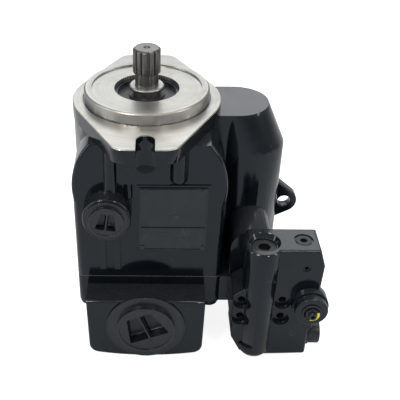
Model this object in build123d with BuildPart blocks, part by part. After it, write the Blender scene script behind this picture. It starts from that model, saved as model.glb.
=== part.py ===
from build123d import *
import math
import os

# Variable axial piston pump, 45 cc class, standing on its end cap with the shaft upright.
# The origin is the centre of the mounting flange's face, +Z runs out along the drive shaft,
# -Y is the inlet side and +X is the servo and control side. All sizes are millimetres.

# ---------------------------------------------------------------- driving sizes
# Mounting flange, two-bolt, size B
pilot_r = 50.8
pilot_h = 9.5
flange_r = 60.5
flange_half = 88.0
flange_thk = 12.0
ear_corner_r = 12.0
ear_corner_x = 15.0
slot_r = 7.15
slot_centre = 73.03
pocket_r = 13.0
pocket_z = -27.0            # bolt-head pocket's round bottom starts here
recess_depth = 1.4          # of the sunk face inside the pilot's rim

# Casing
base_z = -212.0             # underside of the end cap
joint_z = -140.0            # top of the end cap
gasket_thk = 0.6
body_half = 60.0            # half width of the lower casing
drum_r = 62.0               # rounded front of the casing, seen from the inlet side
drum_x = 3.0
drum_z = -52.0
front_y = -60.0             # flat front face of the casing
cavity_r = 54.0
seal_bore_r = 26.4

# Servo barrel beside the casing
servo_x = 84.0
servo_y = 15.0
servo_barrel_r = 34.0
servo_top_z = -10.0
servo_top_r = 28.0
servo_shoulder_z = -46.0
servo_bore_r = 14.0
bias_bore_r = 12.0
arm_x = 79.0                # where the swashplate's arm meets the servo piston
arm_ball_r = 6.0
arm_neck = 6.0              # thickness of the arm beside its round end
arm_half = 5.5

# Drive shaft and rotating group
spline_r = 11.11
spline_teeth = 13
shaft_top_z = 42.0
spline_end_z = 22.0
neck_r = 9.5
slinger_r = 14.0
journal_r = 11.0            # under the lip seal
shaft_r = 12.5              # through the front bearing and the block
tail_r = 10.0               # in the rear bearing
tail_end_z = -158.0
piston_count = 9
piston_pitch_r = 36.0
piston_r = 8.5
tilt_axis_z = -60.0
swash_face_z = -54.0        # running face of the swashplate at no tilt
swash_r = 50.0
tilt_max = 17.0             # degrees
block_r = 49.5
block_top_z = -84.0
block_bottom_z = -136.0

# Ports
drain_x = -31.0
drain_z = -72.0
drain_plug_r = 18.0
inlet_z = -176.0
inlet_plug_r = 33.8
inlet_face_y = -84.0
plug_flange = 1.8           # thickness of the shipping plugs' flanges
inlet_drum_r = 25.0
inlet_drum_h = 6.0
drain_drum_r = 14.0
drain_drum_h = 4.0
port_block_half = 50.5

# Control block
control_back_y = -58.5
control_front_y = -88.0
control_left_x = 73.5
control_right_x = 144.0
control_top_z = -90.0
control_bottom_z = -203.0
ridge_r = 14.5
ridge_x = 94.5
ridge_y = -80.0
control_screw_x = (80.0, 114.0)
control_screw_z = (-144.0, -162.0)
spool_x = 94.5
spool_y = -74.0
spool_r = 5.0
limiter_x = 135.5
limiter_z = -143.0
limiter_boss_r = 13.5
limiter_face_y = -101.0
side_plug_y = -74.0
side_plug_z = -188.0
gauge_x = 129.5
gauge_z = -108.0

# Clearances
run_fit = 0.03              # running fit, radial
slide_fit = 0.02            # spool and piston fits, radial
open_gap = 0.3              # between surfaces of different bodies
seat_gap = 0.05             # between assembled pieces that only rest side by side

os.makedirs("parts", exist_ok=True)


# ---------------------------------------------------------------- shared shapes
def upright(radius, at, z0, z1, mode=Mode.ADD):
    """Cylinder along Z between two heights."""
    with BuildSketch(Plane.XY.offset(z0)) as disc:
        with Locations(at):
            Circle(radius)
    extrude(disc.sketch, amount=z1 - z0, mode=mode)


def along_y(radius, x, z, y0, y1, mode=Mode.ADD):
    """Cylinder along Y from y0 to a larger y1."""
    with BuildSketch(Plane(origin=(x, y0, z), x_dir=(1, 0, 0), z_dir=(0, 1, 0))) as disc:
        Circle(radius)
    extrude(disc.sketch, amount=y1 - y0, mode=mode)


def along_x(radius, y, z, x0, x1, mode=Mode.ADD):
    """Cylinder along X from x0 to a larger x1."""
    with BuildSketch(Plane(origin=(x0, y, z), x_dir=(0, 1, 0), z_dir=(1, 0, 0))) as disc:
        Circle(radius)
    extrude(disc.sketch, amount=x1 - x0, mode=mode)


def block(x0, x1, y0, y1, z0, z1, mode=Mode.ADD, corner=0.0):
    """Rectangular block between two corners, its upright edges rounded if asked."""
    with BuildSketch(Plane.XY.offset(z0)) as plan:
        with Locations(((x0 + x1) / 2, (y0 + y1) / 2)):
            if corner:
                RectangleRounded(x1 - x0, y1 - y0, corner)
            else:
                Rectangle(x1 - x0, y1 - y0)
    extrude(plan.sketch, amount=z1 - z0, mode=mode)


def ring(outer, inner, at, z0, z1, mode=Mode.ADD):
    """Flat ring along Z between two heights."""
    with BuildSketch(Plane.XY.offset(z0)) as plan:
        with Locations(at):
            Circle(outer)
            Circle(inner, mode=Mode.SUBTRACT)
    extrude(plan.sketch, amount=z1 - z0, mode=mode)


def hex_socket(across, at, top_z, depth):
    """Hexagonal key socket sunk from a face that looks up."""
    with BuildSketch(Plane.XY.offset(top_z)) as plan:
        with Locations(at):
            RegularPolygon(across / math.sqrt(3), 6)
    extrude(plan.sketch, amount=-depth, mode=Mode.SUBTRACT)


def flange_plan(z):
    """Mounting flange outline: a disc drawn out into two bolt ears."""
    with BuildSketch(Plane.XY.offset(z)) as plan:
        Circle(flange_r)
        with GridLocations(2 * ear_corner_x, 2 * (flange_half - ear_corner_r), 2, 2):
            Circle(ear_corner_r)
        make_hull()
    return plan.sketch


def joint_plan(z):
    """Outline shared by the casing's foot, its gasket and the end cap."""
    with BuildSketch(Plane.XY.offset(z)) as plan:
        with Locations((1, 0)):
            RectangleRounded(2 * body_half + 2, 2 * body_half, 25)
        with Locations((drum_x, (front_y - 20) / 2)):
            RectangleRounded(2 * drum_r - 1, -20 - front_y, 5)
        with Locations((servo_x, servo_y)):
            Circle(servo_barrel_r)
        with Locations((60, servo_y)):
            Rectangle(40, 44)
    return plan.sketch


# ---------------------------------------------------------------- housing
foot_z = joint_z + gasket_thk
cap_bolts = [(-51, -46), (56, -46), (-50.5, 44), (51.5, 44), (103, 32), (103, -2)]
cap_bolt_r = 5.0

with BuildPart() as housing:
    # neck, lower casing and the rounded front with the straight sides below it
    upright(body_half, (0, 0), -70, -flange_thk + 2)
    extrude(joint_plan(foot_z), amount=-62 - foot_z)
    along_y(drum_r, drum_x, drum_z, front_y, -8)
    fillet(housing.edges().filter_by(GeomType.CIRCLE).sort_by(Axis.Y)[0], 3)
    # servo barrel: a cone over a straight cylinder, and the web that ties it to the neck
    with BuildSketch(Plane.XY.offset(servo_shoulder_z)):
        with Locations((servo_x, servo_y)):
            Circle(servo_barrel_r)
    with BuildSketch(Plane.XY.offset(servo_top_z)):
        with Locations((servo_x - 10, servo_y - 1)):
            Circle(servo_top_r)
    loft()
    fillet(housing.edges().filter_by(GeomType.CIRCLE).group_by(Axis.Z)[-1].sort_by(Axis.X)[-1], 3)
    upright(servo_barrel_r, (servo_x, servo_y), foot_z, servo_shoulder_z)
    block(40, servo_x - 10, servo_y - servo_top_r - 1, servo_y + servo_top_r - 1, foot_z, servo_top_z)
    # the casing stops under the flange
    block(-90, servo_x - 34, -90, 90, -flange_thk, 20, Mode.SUBTRACT)
    # boss that backs the control block
    along_y(18, servo_x + 5, -112, -57, 0)
    block(servo_x - 13, servo_x + 23, -57, 0, foot_z, -112)
    # lifting and mounting lug on the servo side
    with BuildSketch(Plane(origin=(0, 25, 0), x_dir=(1, 0, 0), z_dir=(0, 1, 0))):
        with Locations((127.5, 118)):
            Circle(12)
        with Locations((112, 97)):
            Circle(6)
        with Locations((112, 133)):
            Circle(6)
        make_hull()
    extrude(amount=10)
    fillet(housing.faces().filter_by(Axis.Y).sort_by(Axis.X)[-2:].edges().filter_by(GeomType.CIRCLE), 1.5)
    along_y(6.2, 127.5, -118, 20, 40, Mode.SUBTRACT)
    # front face: bolt column, ribs, plate frame and drain boss
    block(-20, 19, front_y - 3, front_y + 8, -45, -flange_thk)
    for rib_x, rib_r, rib_low in ((-28, 5.5, -58), (26, 7.5, -40), (-14, 4, -58)):
        upright(rib_r, (rib_x, front_y + 2), rib_low, -flange_thk)
        with Locations((rib_x, front_y + 2, rib_low)):
            Sphere(rib_r)
    for rib_x in (-36, -24):
        block(rib_x - 2.5, rib_x + 2.5, front_y - 3, front_y + 5, -130, -90)
    block(-7.5, 51.5, front_y - 1.2, front_y + 2, -112, -47)
    along_y(drain_plug_r + 1.5, drain_x, drain_z, front_y - 14, front_y + 5)
    fillet(housing.edges().filter_by(GeomType.CIRCLE).sort_by(Axis.Y)[:1], 2)
    # rear drain boss and rear web
    along_y(19, -24, drain_z, body_half - 6, body_half + 6)
    for rib_x in (-8, 18, 34):
        block(rib_x - 3, rib_x + 3, body_half - 8, body_half + 3, -128, -30)

    # mounting flange, pilot, relief groove and the shallow recess on the pilot's face
    extrude(flange_plan(-flange_thk), amount=flange_thk)
    chamfer(housing.edges().filter_by(Plane.XY).group_by(Axis.Z)[-1], 0.6)
    upright(pilot_r, (0, 0), -1, pilot_h)
    chamfer(housing.edges().group_by(Axis.Z)[-1], 1.2)
    ring(pilot_r + 1.5, pilot_r, (0, 0), -0.8, 1, Mode.SUBTRACT)
    upright(44.7, (0, 0), pilot_h - recess_depth, pilot_h + 1, Mode.SUBTRACT)

    # bolt slots, open at the ears' ends, and the bolt-head pockets under them
    for side in (-1, 1):
        upright(slot_r, (0, side * slot_centre), -flange_thk - 1, 1, Mode.SUBTRACT)
        slot_y = side * (slot_centre + 15)
        block(-slot_r, slot_r, slot_y - 15, slot_y + 15, -flange_thk - 1, 1, Mode.SUBTRACT)
        upright(pocket_r, (0, side * slot_centre), pocket_z, -flange_thk, Mode.SUBTRACT)
        with Locations((0, side * slot_centre, pocket_z)):
            Sphere(pocket_r, mode=Mode.SUBTRACT)

    # seal bore, ring groove, passage and front bearing seat
    upright(seal_bore_r, (0, 0), -5, pilot_h + 1, Mode.SUBTRACT)
    ring(seal_bore_r + 1.2, seal_bore_r - 1, (0, 0), 3.2, 4.8, Mode.SUBTRACT)
    upright(18, (0, 0), -9, -4, Mode.SUBTRACT)
    upright(23 + run_fit, (0, 0), -40, -8, Mode.SUBTRACT)
    # rotating group's cavity and the two cradle seats
    upright(cavity_r, (0, 0), foot_z - 1, -30, Mode.SUBTRACT)
    for seat_y in (-46, 26):
        along_y(38.6, 0, tilt_axis_z, seat_y, seat_y + 20, Mode.SUBTRACT)
    # servo bore, bias bore and the window for the swashplate's arm
    upright(servo_bore_r + slide_fit, (arm_x, servo_y), foot_z - 1, -64, Mode.SUBTRACT)
    upright(bias_bore_r + slide_fit, (arm_x, servo_y), -66, -18, Mode.SUBTRACT)
    block(40, arm_x + 6.5, servo_y - 7, servo_y + 7, -94, -44, Mode.SUBTRACT)
    # drain ports, joint bolts and plate rivets
    along_y(14, drain_x, drain_z, front_y - 20, -40, Mode.SUBTRACT)
    along_y(11, -24, drain_z, 40, body_half + 10, Mode.SUBTRACT)
    for at in cap_bolts:
        upright(cap_bolt_r + slide_fit, at, foot_z - 1, -118, Mode.SUBTRACT)
    for rivet_x in (-3, 47):
        for rivet_z in (-52, -107):
            along_y(1.2, rivet_x, rivet_z, front_y - 5, front_y + 6, Mode.SUBTRACT)
housing.part.label = "housing"
export_step(housing.part, "parts/housing.step")

# ---------------------------------------------------------------- end cap
arm_pad_y = control_back_y + 0.5

foot_corner = -base_z - 5   # the foot is gently arched, so its corners lie higher
port_block_top = 148.5

with BuildPart() as end_cap:
    extrude(joint_plan(joint_z), amount=-28)
    block(-42, 42, -60, 62, base_z, joint_z - 20, corner=8)
    # inlet port block with rounded corners and a gently arched foot
    with BuildSketch(Plane(origin=(0, inlet_face_y, 0), x_dir=(1, 0, 0), z_dir=(0, 1, 0))):
        with BuildLine():
            Polyline((-port_block_half + 1, foot_corner), (-port_block_half, port_block_top),
                     (port_block_half, port_block_top), (port_block_half - 1, foot_corner))
            ThreePointArc((port_block_half - 1, foot_corner), (0, -base_z),
                          (-port_block_half + 1, foot_corner))
        make_face()
    extrude(amount=28)
    fillet(end_cap.edges().filter_by(Axis.Y).filter_by_position(Axis.Y, -84, -60).group_by(Axis.Z)[0], 9)
    fillet(end_cap.faces().filter_by(Axis.Y).sort_by(Axis.Y)[0].edges(), 2.5)
    # outlet boss on the far side
    along_y(25, 0, inlet_z, 55, 66)
    # arm that carries the control block
    block(44, control_right_x - 2, arm_pad_y, -4, joint_z - 28, joint_z - 1)
    block(control_left_x + 3, control_right_x - 2, arm_pad_y, -26, -198, joint_z - 20)
    # seats: valve plate, rear bearing, shaft end
    upright(45.6, (0, 0), joint_z - 2, joint_z + 1, Mode.SUBTRACT)
    upright(19 + run_fit, (0, 0), joint_z - 18, joint_z, Mode.SUBTRACT)
    upright(12, (0, 0), joint_z - 21, joint_z, Mode.SUBTRACT)
    # ports, and the kidney passages from the valve plate down to them
    along_y(22, 0, inlet_z, inlet_face_y - 1, -26, Mode.SUBTRACT)
    along_y(31, 0, inlet_z, inlet_face_y - 1, inlet_face_y + 3, Mode.SUBTRACT)
    along_y(16, 0, inlet_z, 26, 70, Mode.SUBTRACT)
    for side in (-1, 1):
        with BuildSketch(Plane.XY.offset(joint_z)):
            with Locations((0, 0)):
                SlotArc(CenterArc((0, 0), 34, side * 90 - 55, 110), 9)
        extrude(amount=-20, mode=Mode.SUBTRACT)
    # joint bolts from below, control screws from the front, valve plate pin
    for at in cap_bolts:
        upright(cap_bolt_r + 0.25, at, joint_z - 30, joint_z + 1, Mode.SUBTRACT)
    for screw_x in control_screw_x:
        for screw_z in control_screw_z:
            along_y(3 + slide_fit, screw_x, screw_z, arm_pad_y - 1, arm_pad_y + 16, Mode.SUBTRACT)
    upright(2 + slide_fit, (-41, 0), joint_z - 6, joint_z, Mode.SUBTRACT)
end_cap.part.label = "end_cap"
export_step(end_cap.part, "parts/end_cap.step")

with BuildPart() as end_cap_gasket:
    extrude(joint_plan(joint_z), amount=gasket_thk)
    upright(cavity_r, (0, 0), joint_z - 1, joint_z + 1, Mode.SUBTRACT)
    upright(servo_bore_r + 1, (arm_x, servo_y), joint_z - 1, joint_z + 1, Mode.SUBTRACT)
    for at in cap_bolts:
        upright(cap_bolt_r + 0.25, at, joint_z - 1, joint_z + 1, Mode.SUBTRACT)
end_cap_gasket.part.label = "end_cap_gasket"
export_step(end_cap_gasket.part, "parts/end_cap_gasket.step")

with BuildPart() as end_cap_bolts:
    for at in cap_bolts:
        upright(cap_bolt_r, at, joint_z - 28, -120)
        upright(1.6 * cap_bolt_r, at, joint_z - 38, joint_z - 28)
        with BuildSketch(Plane.XY.offset(joint_z - 38)):
            with Locations(at):
                RegularPolygon(4.6, 6)
        extrude(amount=5, mode=Mode.SUBTRACT)
end_cap_bolts.part.label = "end_cap_bolts"
export_step(end_cap_bolts.part, "parts/end_cap_bolts.step")

# ---------------------------------------------------------------- drive shaft and its seals
with BuildPart() as drive_shaft:
    upright(spline_r, (0, 0), spline_end_z, shaft_top_z)
    chamfer(drive_shaft.edges().group_by(Axis.Z)[-1], 1.6)
    # thirteen tooth spaces cut round the shaft's end
    with BuildSketch(Plane.XY.offset(spline_end_z - 0.5)):
        with PolarLocations(spline_r, spline_teeth):
            Trapezoid(3.4, 3.0, 66, rotation=90, align=(Align.CENTER, Align.CENTER))
    extrude(amount=shaft_top_z - spline_end_z + 1, mode=Mode.SUBTRACT)
    upright(neck_r, (0, 0), 8, spline_end_z + 0.5)
    upright(journal_r, (0, 0), -8, 8)
    upright(shaft_r, (0, 0), -133, -8)
    upright(tail_r, (0, 0), tail_end_z, -133)
    upright(shaft_r + 3, (0, 0), -31, -26.5)
    # centre hole in the end
    with Locations((0, 0, shaft_top_z)):
        CounterSinkHole(1.2, 2.8, 6)
drive_shaft.part.label = "drive_shaft"
export_step(drive_shaft.part, "parts/drive_shaft.step")

with BuildPart() as shaft_slinger:
    ring(slinger_r, neck_r + seat_gap, (0, 0), 8 + seat_gap, 11)
    chamfer(shaft_slinger.edges().group_by(Axis.Z)[-1].sort_by(SortBy.RADIUS)[-1], 0.8)
shaft_slinger.part.label = "shaft_slinger"
export_step(shaft_slinger.part, "parts/shaft_slinger.step")

with BuildPart() as shaft_seal:
    ring(seal_bore_r - seat_gap, journal_r + run_fit, (0, 0), -4.9, 3.0)
    ring(seal_bore_r - 3, journal_r + 3.5, (0, 0), 1.4, 3.0, Mode.SUBTRACT)
shaft_seal.part.label = "shaft_seal"
export_step(shaft_seal.part, "parts/shaft_seal.step")

with BuildPart() as seal_retaining_ring:
    ring(seal_bore_r + 1.1, seal_bore_r - 2.6, (0, 0), 3.25, 4.75)
    block(-5, 5, seal_bore_r - 6.4, seal_bore_r + 3.6, 3, 5, Mode.SUBTRACT)
    for side in (-1, 1):
        upright(3.0, (side * 8.2, seal_bore_r - 4.9), 3.25, 4.75)
        upright(1.1, (side * 8.2, seal_bore_r - 5.4), 3, 5, Mode.SUBTRACT)
seal_retaining_ring.part.label = "seal_retaining_ring"
export_step(seal_retaining_ring.part, "parts/seal_retaining_ring.step")

# ---------------------------------------------------------------- tapered roller bearings
roller_gap = 0.08


def bearing(outer, bore, low_z, high_z, count, wide_up):
    """Cup, cone and rollers of one tapered bearing, its wide end up or down."""
    middle = (outer + bore) / 2
    lean = 1.2 if wide_up else -1.2
    roller_d = (outer - bore) * 0.34
    tall = high_z - low_z
    with BuildPart() as cup:
        upright(outer, (0, 0), low_z, high_z)
        with BuildSketch(Plane.XY.offset(low_z)):
            Circle(middle + roller_d / 2 + roller_gap - lean)
        with BuildSketch(Plane.XY.offset(high_z)):
            Circle(middle + roller_d / 2 + roller_gap + lean)
        loft(mode=Mode.SUBTRACT)
    with BuildPart() as cone:
        with BuildSketch(Plane.XY.offset(low_z + 0.4)):
            Circle(middle - roller_d / 2 - roller_gap - lean)
        with BuildSketch(Plane.XY.offset(high_z - 0.4)):
            Circle(middle - roller_d / 2 - roller_gap + lean)
        loft()
        upright(bore, (0, 0), low_z, high_z, Mode.SUBTRACT)
    with BuildPart() as rollers:
        for turn in range(count):
            angle = math.radians(360 * turn / count)
            foot, head = middle - lean * 0.75, middle + lean * 0.75
            low = Vector(foot * math.cos(angle), foot * math.sin(angle), low_z + tall * 0.14)
            high = Vector(head * math.cos(angle), head * math.sin(angle), high_z - tall * 0.14)
            with BuildSketch(Plane(origin=low, z_dir=high - low)) as end:
                Circle(roller_d / 2)
            extrude(end.sketch, amount=(high - low).length)
    return cup, cone, rollers


front_bearing = bearing(23, shaft_r + seat_gap, -26.4, -9.1, 15, True)
rear_bearing = bearing(19, tail_r + seat_gap, joint_z - 17.9, joint_z - 3, 13, False)
front_bearing_cup, front_bearing_cone, front_bearing_rollers = front_bearing
rear_bearing_cup, rear_bearing_cone, rear_bearing_rollers = rear_bearing
front_bearing_cup.part.label = "front_bearing_cup"
export_step(front_bearing_cup.part, "parts/front_bearing_cup.step")
front_bearing_cone.part.label = "front_bearing_cone"
export_step(front_bearing_cone.part, "parts/front_bearing_cone.step")
front_bearing_rollers.part.label = "front_bearing_rollers"
export_step(front_bearing_rollers.part, "parts/front_bearing_rollers.step")
rear_bearing_cup.part.label = "rear_bearing_cup"
export_step(rear_bearing_cup.part, "parts/rear_bearing_cup.step")
rear_bearing_cone.part.label = "rear_bearing_cone"
export_step(rear_bearing_cone.part, "parts/rear_bearing_cone.step")
rear_bearing_rollers.part.label = "rear_bearing_rollers"
export_step(rear_bearing_rollers.part, "parts/rear_bearing_rollers.step")

# ---------------------------------------------------------------- rotating group
draw_back = 14.4            # how far the pistons draw in at full tilt
guide_r = 20.3

with BuildPart() as cylinder_block:
    upright(block_r, (0, 0), block_bottom_z, block_top_z)
    chamfer(cylinder_block.edges().group_by(Axis.Z)[-1], 1.5)
    upright(shaft_r + run_fit, (0, 0), block_bottom_z - 1, block_top_z + 1, Mode.SUBTRACT)
    upright(19, (0, 0), -109, block_top_z + 1, Mode.SUBTRACT)
    with BuildSketch(Plane.XY.offset(block_top_z)):
        with PolarLocations(piston_pitch_r, piston_count):
            Circle(piston_r + slide_fit)
    extrude(amount=-47, mode=Mode.SUBTRACT)
    with BuildSketch(Plane.XY.offset(block_bottom_z)):
        with PolarLocations(piston_pitch_r - 2, piston_count):
            SlotOverall(14, 7, rotation=90)
    extrude(amount=8, mode=Mode.SUBTRACT)
cylinder_block.part.label = "cylinder_block"
export_step(cylinder_block.part, "parts/cylinder_block.step")

with BuildPart() as pistons:
    for place in PolarLocations(piston_pitch_r, piston_count):
        at = (place.position.X, place.position.Y)
        upright(piston_r, at, -112, -69)
        upright(3.6, at, -70, -60)
        with Locations((*at, tilt_axis_z - 2)):
            Sphere(5.4)
        upright(4.5, at, -113, -90, Mode.SUBTRACT)
pistons.part.label = "pistons"
export_step(pistons.part, "parts/pistons.step")

with BuildPart() as slippers:
    for place in PolarLocations(piston_pitch_r, piston_count):
        at = (place.position.X, place.position.Y)
        upright(10, at, swash_face_z - 3, swash_face_z - open_gap)
        upright(7.6, at, -66.5, swash_face_z - 3)
        with Locations((*at, tilt_axis_z - 2)):
            Sphere(5.4 + seat_gap, mode=Mode.SUBTRACT)
        upright(4.6, at, -67, -63, Mode.SUBTRACT)
        upright(0.8, at, -60, swash_face_z, Mode.SUBTRACT)
slippers.part.label = "slippers"
export_step(slippers.part, "parts/slippers.step")

with BuildPart() as retainer_plate:
    upright(46, (0, 0), swash_face_z - 6.2, swash_face_z - 3 - seat_gap)
    upright(guide_r + 0.3, (0, 0), -62, -56, Mode.SUBTRACT)
    with BuildSketch(Plane.XY.offset(-62)):
        with PolarLocations(piston_pitch_r, piston_count):
            Circle(8.0)
    extrude(amount=6, mode=Mode.SUBTRACT)
retainer_plate.part.label = "retainer_plate"
export_step(retainer_plate.part, "parts/retainer_plate.step")

with BuildPart() as ball_guide:
    with Locations((0, 0, -66)):
        Sphere(guide_r)
    block(-30, 30, -30, 30, -56, -40, Mode.SUBTRACT)
    block(-30, 30, -30, 30, -90, -68.5, Mode.SUBTRACT)
    upright(18.6, (0, 0), -83, -66)
    upright(shaft_r + run_fit, (0, 0), -90, -50, Mode.SUBTRACT)
ball_guide.part.label = "ball_guide"
export_step(ball_guide.part, "parts/ball_guide.step")


def coil_spring(mean_r, wire_r, at, z0, z1, turns):
    """Compression spring between two heights, its wire's ends inside them."""
    start = z0 + wire_r + 0.1
    tall = z1 - z0 - 2 * wire_r - 0.2
    with BuildPart() as spring:
        with BuildLine(Plane(origin=(*at, start))) as centre:
            Helix(pitch=tall / turns, height=tall, radius=mean_r)
        with BuildSketch(Plane(origin=centre.line @ 0, z_dir=centre.line % 0)):
            Circle(wire_r)
        sweep()
    return spring


hold_down_spring = coil_spring(15.9, 1.3, (0, 0), -109, -83, 4)
hold_down_spring.part.label = "hold_down_spring"
export_step(hold_down_spring.part, "parts/hold_down_spring.step")

# ---------------------------------------------------------------- swashplate and its cradle
with BuildPart() as swashplate:
    upright(swash_r, (0, 0), swash_face_z, swash_face_z + 8)
    for runner_y in (-43, 27.5):
        with BuildSketch(Plane(origin=(0, runner_y, 0), x_dir=(1, 0, 0), z_dir=(0, 1, 0))):
            with Locations((0, -tilt_axis_z)):
                Circle(36)
            with Locations((0, -swash_face_z - 1 + 50)):
                Rectangle(120, 100, mode=Mode.SUBTRACT)
        extrude(amount=15.5)
    upright(22, (0, 0), -70, -20, Mode.SUBTRACT)
    # arm for the servo and bias pistons: a thin neck, so that tilting it clears the bias piston,
    # with a round end
    block(swash_r - 6, swash_r + 0.5, servo_y - arm_half, servo_y + arm_half,
          swash_face_z, swash_face_z + 6)
    block(swash_r - 1.5, arm_x, servo_y - arm_half, servo_y + arm_half,
          tilt_axis_z - arm_neck / 2, tilt_axis_z + arm_neck / 2)
    block(swash_r - 1.5, swash_r + 0.5, servo_y - arm_half, servo_y + arm_half,
          tilt_axis_z, swash_face_z + 6)
    along_y(arm_ball_r, arm_x, tilt_axis_z, servo_y - arm_half, servo_y + arm_half)
swashplate.part.label = "swashplate"
export_step(swashplate.part, "parts/swashplate.step")

with BuildPart() as cradle_bearings:
    for shell_y in (-43.5, 27):
        with BuildSketch(Plane(origin=(0, shell_y, 0), x_dir=(1, 0, 0), z_dir=(0, 1, 0))):
            with Locations((0, -tilt_axis_z)):
                Circle(38.5)
                Circle(36 + run_fit, mode=Mode.SUBTRACT)
            with Locations((0, 31 + 50)):
                Rectangle(120, 100, mode=Mode.SUBTRACT)
        extrude(amount=16.5)
cradle_bearings.part.label = "cradle_bearings"
export_step(cradle_bearings.part, "parts/cradle_bearings.step")

# ---------------------------------------------------------------- valve plate
with BuildPart() as valve_plate:
    upright(45.4, (0, 0), joint_z - 1.95, block_bottom_z - seat_gap)
    upright(16, (0, 0), joint_z - 3, block_bottom_z + 1, Mode.SUBTRACT)
    for side in (-1, 1):
        with BuildSketch(Plane.XY.offset(joint_z - 3)):
            SlotArc(CenterArc((0, 0), 34, side * 90 - 55, 110), 9)
        extrude(amount=10, mode=Mode.SUBTRACT)
    upright(2 + slide_fit, (-41, 0), joint_z - 3, joint_z + 1, Mode.SUBTRACT)
valve_plate.part.label = "valve_plate"
export_step(valve_plate.part, "parts/valve_plate.step")

with BuildPart() as valve_plate_pin:
    upright(2, (-41, 0), joint_z - 5.9, joint_z + 0.9)
valve_plate_pin.part.label = "valve_plate_pin"
export_step(valve_plate_pin.part, "parts/valve_plate_pin.step")

# ---------------------------------------------------------------- servo and bias pistons
arm_top_z = tilt_axis_z + arm_ball_r
arm_low_z = tilt_axis_z - arm_ball_r

with BuildPart() as servo_piston:
    upright(servo_bore_r, (arm_x, servo_y), arm_low_z - 30, arm_low_z - open_gap)
    upright(9, (arm_x, servo_y), arm_low_z - 31, arm_low_z - 12, Mode.SUBTRACT)
    ring(servo_bore_r + 1, servo_bore_r - 1.2, (arm_x, servo_y), arm_low_z - 24, arm_low_z - 21,
         Mode.SUBTRACT)
servo_piston.part.label = "servo_piston"
export_step(servo_piston.part, "parts/servo_piston.step")

with BuildPart() as servo_piston_ring:
    ring(servo_bore_r - 0.05, servo_bore_r - 1.15, (arm_x, servo_y), arm_low_z - 23.9,
         arm_low_z - 21.1)
servo_piston_ring.part.label = "servo_piston_ring"
export_step(servo_piston_ring.part, "parts/servo_piston_ring.step")

with BuildPart() as bias_piston:
    upright(bias_bore_r, (arm_x, servo_y), arm_top_z + open_gap, arm_top_z + 14)
    upright(9.5, (arm_x, servo_y), arm_top_z + 6, arm_top_z + 15, Mode.SUBTRACT)
bias_piston.part.label = "bias_piston"
export_step(bias_piston.part, "parts/bias_piston.step")

bias_spring = coil_spring(7.4, 1.2, (arm_x, servo_y), arm_top_z + 6, -18, 6)
bias_spring.part.label = "bias_spring"
export_step(bias_spring.part, "parts/bias_spring.step")

# ---------------------------------------------------------------- control block
screw_floor_y = -84.0       # the control screws' heads bear here
large_port = (95.5, -76)
small_port = (127, -73)
large_spot_r = 12.6
small_spot_r = 7.8

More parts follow.
